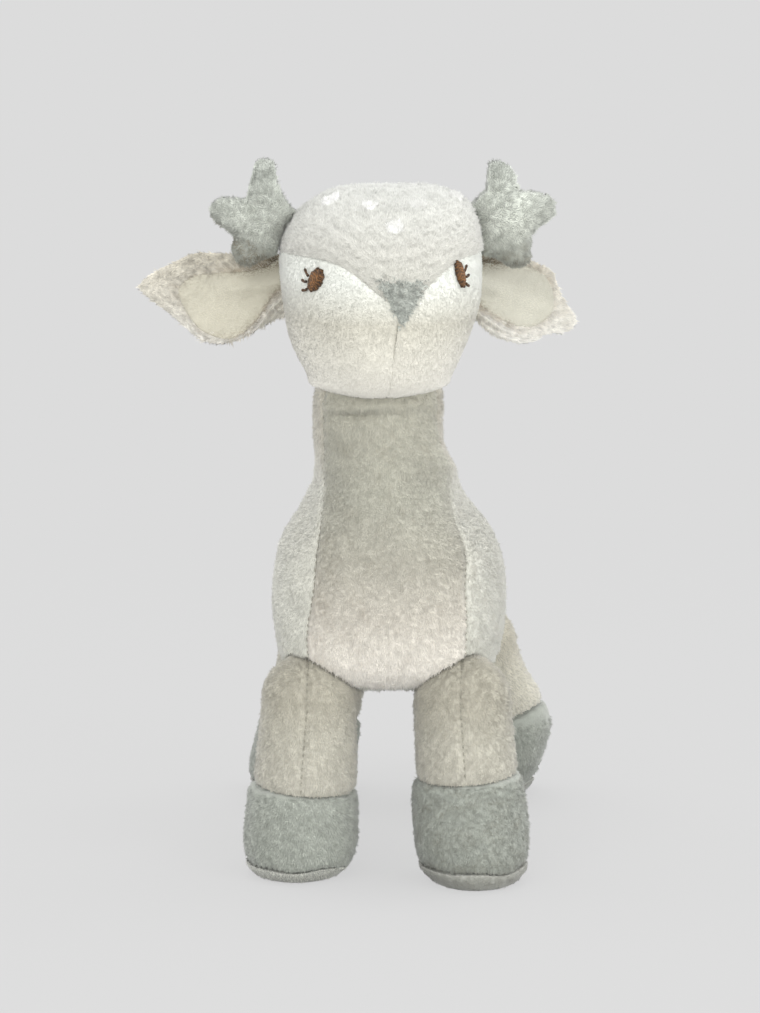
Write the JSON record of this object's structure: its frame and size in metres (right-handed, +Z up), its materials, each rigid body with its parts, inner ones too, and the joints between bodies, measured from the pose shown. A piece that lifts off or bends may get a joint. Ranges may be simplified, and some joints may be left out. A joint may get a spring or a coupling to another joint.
{
  "type": "plush deer",
  "caption": "Standing stuffed plush fawn with a tall neck, a turning head, floppy ears, small branched antlers, a short tail and padded hooves.",
  "frame": {"origin": "on the ground plane, at the centre of the whole toy's box seen from above", "axes": "+Z up; the toy looks along -Y; -X is the side that is on the left in the picture"},
  "size_m": [0.1864, 0.2272, 0.3005],
  "materials": {
    "plush_body": "short dense pile, warm grey",
    "plush_side": "short dense pile, pale grey",
    "plush_cream": "short dense pile, cream",
    "plush_crown": "short dense pile, off-white",
    "plush_grey": "short dense pile, cool grey",
    "plush_sole": "short dense pile over a firm pad",
    "thread_brown": "satin embroidery thread",
    "thread_white": "satin embroidery thread",
    "fibre": "loose white polyester fibre",
    "plush_rim": "short dense pile, taupe grey"
  },
  "bodies": {
    "antler_left": {"antler_left_back": "plush_grey", "antler_left_filling": "fibre", "antler_left_front": "plush_grey"},
    "antler_right": {"antler_right_back": "plush_grey", "antler_right_filling": "fibre", "antler_right_front": "plush_grey"},
    "torso": {"belly_panel": "plush_side", "chest_panel": "plush_body", "neck_filling": "fibre", "side_left": "plush_side", "side_right": "plush_side", "torso_filling": "fibre"},
    "head": {"cheek_left": "plush_cream", "cheek_right": "plush_cream", "crown_gusset": "plush_crown", "eye_left": "thread_brown", "eye_right": "thread_brown", "head_filling": "fibre", "nose": "plush_grey", "spot_1": "thread_white", "spot_2": "thread_white", "spot_3": "thread_white", "spot_4": "thread_white", "spot_5": "thread_white"},
    "ear_left": {"ear_left_lining": "plush_cream", "ear_left_outer": "plush_rim"},
    "ear_right": {"ear_right_lining": "plush_cream", "ear_right_outer": "plush_rim"},
    "leg_front_left": {"hoof_front_left": "plush_grey", "leg_front_left_filling": "fibre", "leg_front_left_inner": "plush_side", "leg_front_left_outer": "plush_side", "sole_front_left": "plush_sole"},
    "leg_front_right": {"hoof_front_right": "plush_grey", "leg_front_right_filling": "fibre", "leg_front_right_inner": "plush_side", "leg_front_right_outer": "plush_side", "sole_front_right": "plush_sole"},
    "leg_rear_left": {"hoof_rear_left": "plush_grey", "leg_rear_left_filling": "fibre", "leg_rear_left_inner": "plush_side", "leg_rear_left_outer": "plush_side", "sole_rear_left": "plush_sole"},
    "leg_rear_right": {"hoof_rear_right": "plush_grey", "leg_rear_right_filling": "fibre", "leg_rear_right_inner": "plush_side", "leg_rear_right_outer": "plush_side", "sole_rear_right": "plush_sole"},
    "tail": {"tail": "plush_side"}
  },
  "joints": [
    {"name": "head_turn", "type": "hinge", "parent": "torso", "child": "head", "pos_m": [0.01105, -0.05736, 0.2075], "axis": [0, 0, 1], "range_deg": [-20, 20], "stiffness_Nm_per_rad": 0.05},
    {"name": "ear_left_flop", "type": "hinge", "parent": "head", "child": "ear_left", "pos_m": [-0.03001, -0.04179, 0.2418], "axis": [-0.1157, 0.0865, 0.9895], "range_deg": [-35, 12], "stiffness_Nm_per_rad": 0.01},
    {"name": "ear_right_flop", "type": "hinge", "parent": "head", "child": "ear_right", "pos_m": [0.04661, -0.0276, 0.24168], "axis": [-0.1736, -0.1385, -0.975], "range_deg": [-35, 20], "stiffness_Nm_per_rad": 0.01},
    {"name": "antler_left_bend", "type": "hinge", "parent": "head", "child": "antler_left", "pos_m": [-0.0283, -0.05466, 0.27276], "axis": [0.4363, -0.1293, 0.8905], "range_deg": [-8, 12], "stiffness_Nm_per_rad": 0.02},
    {"name": "antler_right_bend", "type": "hinge", "parent": "head", "child": "antler_right", "pos_m": [0.05116, -0.03983, 0.27227], "axis": [0.2428, 0.2589, -0.9349], "range_deg": [-8, 12], "stiffness_Nm_per_rad": 0.02},
    {"name": "tail_wag", "type": "hinge", "parent": "torso", "child": "tail", "pos_m": [0.01325, 0.08573, 0.13355], "axis": [1, 0, 0], "range_deg": [-10, 45], "stiffness_Nm_per_rad": 0.01},
    {"name": "hip_front_left", "type": "hinge", "parent": "torso", "child": "leg_front_left", "pos_m": [-0.01775, -0.06036, 0.074], "axis": [1, 0, 0], "range_deg": [-10, 10], "stiffness_Nm_per_rad": 0.3},
    {"name": "hip_front_right", "type": "hinge", "parent": "torso", "child": "leg_front_right", "pos_m": [0.04625, -0.06036, 0.074], "axis": [1, 0, 0], "range_deg": [-10, 10], "stiffness_Nm_per_rad": 0.3},
    {"name": "hip_rear_left", "type": "hinge", "parent": "torso", "child": "leg_rear_left", "pos_m": [-0.01975, 0.06064, 0.074], "axis": [1, 0, 0], "range_deg": [-10, 10], "stiffness_Nm_per_rad": 0.3},
    {"name": "hip_rear_right", "type": "hinge", "parent": "torso", "child": "leg_rear_right", "pos_m": [0.04625, 0.06064, 0.074], "axis": [1, 0, 0], "range_deg": [-10, 10], "stiffness_Nm_per_rad": 0.3}
  ]
}
